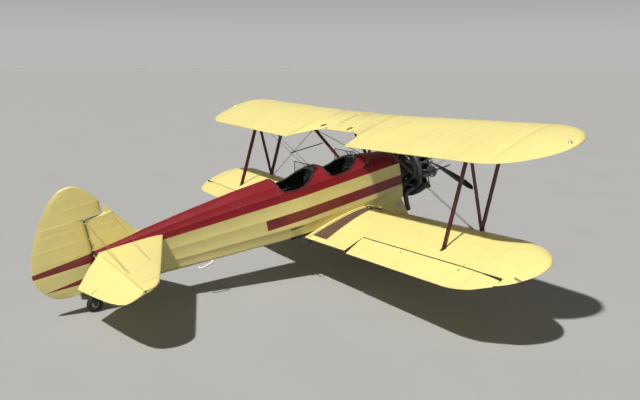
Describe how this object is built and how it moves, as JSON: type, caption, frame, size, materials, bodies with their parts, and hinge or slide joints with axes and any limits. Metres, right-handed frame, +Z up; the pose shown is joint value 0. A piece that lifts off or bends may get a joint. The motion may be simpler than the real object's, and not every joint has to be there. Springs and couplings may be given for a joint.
{
  "type": "two-seat biplane",
  "caption": "Open-cockpit training biplane with a radial engine, wire-braced wings and fixed undercarriage with a tail wheel.",
  "frame": {"origin": "on the ground, under the middle of the parked aircraft", "axes": "+X towards the nose, +Y to port, along the span, +Z up from the ground; the aircraft sits 11.4 degrees nose up on its three wheels"},
  "size_m": [7.7118, 9.7986, 2.9686],
  "materials": {
    "cream": "satin doped fabric",
    "maroon": "gloss",
    "strut_red": "gloss",
    "black": "satin",
    "engine_metal": "cast",
    "exhaust_metal": "satin",
    "wire_steel": "satin",
    "rubber": "matte",
    "glass": "clear",
    "leather": "matte",
    "interior": "matte"
  },
  "bodies": {
    "airframe": {"fuselage_rear": "cream", "cockpit_tub": "cream", "cockpit_deck": "maroon", "nose_section": "cream", "engine": "engine_metal", "engine_mount": "black", "accessory_case": "black", "exhaust": "exhaust_metal", "wing_center": "cream", "fin": "cream", "tail_arm": "black", "windshield_front": "glass", "windshield_rear": "glass", "panel_front": "black", "panel_rear": "black", "seat_front": "interior", "seat_rear": "interior", "cushion_front": "leather", "cushion_rear": "leather", "stick_front": "black", "stick_rear": "black", "upper_wing_left": "cream", "lower_wing_left": "cream", "cabane_left": "strut_red", "interplane_left": "strut_red", "stabilizer_left": "cream", "gear_leg_left": "cream", "flying_wire_front_left": "wire_steel", "flying_wire_rear_left": "wire_steel", "landing_wire_front_left": "wire_steel", "landing_wire_rear_left": "wire_steel", "javelin_left": "wire_steel", "upper_wing_right": "cream", "lower_wing_right": "cream", "cabane_right": "strut_red", "interplane_right": "strut_red", "stabilizer_right": "cream", "gear_leg_right": "cream", "flying_wire_front_right": "wire_steel", "flying_wire_rear_right": "wire_steel", "landing_wire_front_right": "wire_steel", "landing_wire_rear_right": "wire_steel", "javelin_right": "wire_steel"},
    "propeller": {"propeller": "black"},
    "wheel_left": {"wheel_left": "cream", "tire_left": "rubber"},
    "wheel_right": {"wheel_right": "cream", "tire_right": "rubber"},
    "tail_fork": {"tail_fork": "black"},
    "tail_wheel": {"tail_tire": "rubber", "tail_hub": "engine_metal"},
    "rudder": {"rudder": "cream"},
    "elevators": {"elevator_left": "cream", "elevator_right": "cream"},
    "aileron_left": {"aileron_left": "cream"},
    "aileron_right": {"aileron_right": "cream"}
  },
  "joints": [
    {"name": "propeller_spin", "type": "hinge", "parent": "airframe", "child": "propeller", "pos_m": [3.72033, 0, 1.90553], "axis": [0.9803, 0, 0.1977], "continuous": true},
    {"name": "wheel_left_spin", "type": "hinge", "parent": "airframe", "child": "wheel_left", "pos_m": [2.64548, 0.965, 0.305], "axis": [0, 1, 0], "continuous": true},
    {"name": "wheel_right_spin", "type": "hinge", "parent": "airframe", "child": "wheel_right", "pos_m": [2.64548, -0.965, 0.305], "axis": [0, 1, 0], "continuous": true},
    {"name": "rudder_turn", "type": "hinge", "parent": "airframe", "child": "rudder", "pos_m": [-2.9803, 0, 0.86048], "axis": [-0.1977, 0, 0.9803], "range_deg": [-30, 30]},
    {"name": "tail_wheel_steer", "type": "hinge", "parent": "airframe", "child": "tail_fork", "pos_m": [-2.96678, 0, 0.36335], "axis": [-0.1977, 0, 0.9803], "range_deg": [-30, 30]},
    {"name": "tail_wheel_spin", "type": "hinge", "parent": "tail_fork", "child": "tail_wheel", "pos_m": [-2.98033, 0, 0.127], "axis": [0, 1, 0], "continuous": true},
    {"name": "elevators_turn", "type": "hinge", "parent": "airframe", "child": "elevators", "pos_m": [-2.90331, 0, 0.90865], "axis": [0, 1, 0], "range_deg": [0, 50]},
    {"name": "aileron_left_turn", "type": "hinge", "parent": "airframe", "child": "aileron_left", "pos_m": [0.96223, 2.99996, 0.99031], "axis": [-0.0069, 0.9994, 0.0342], "range_deg": [-27, 13]},
    {"name": "aileron_right_turn", "type": "hinge", "parent": "airframe", "child": "aileron_right", "pos_m": [0.96223, -2.99996, 0.99031], "axis": [0.0069, 0.9994, -0.0342], "range_deg": [-13, 27]}
  ],
  "couplings": [
    {"joint": "aileron_right_turn", "follows": "aileron_left_turn", "ratio": -1},
    {"joint": "tail_wheel_steer", "follows": "rudder_turn", "ratio": 1}
  ]
}
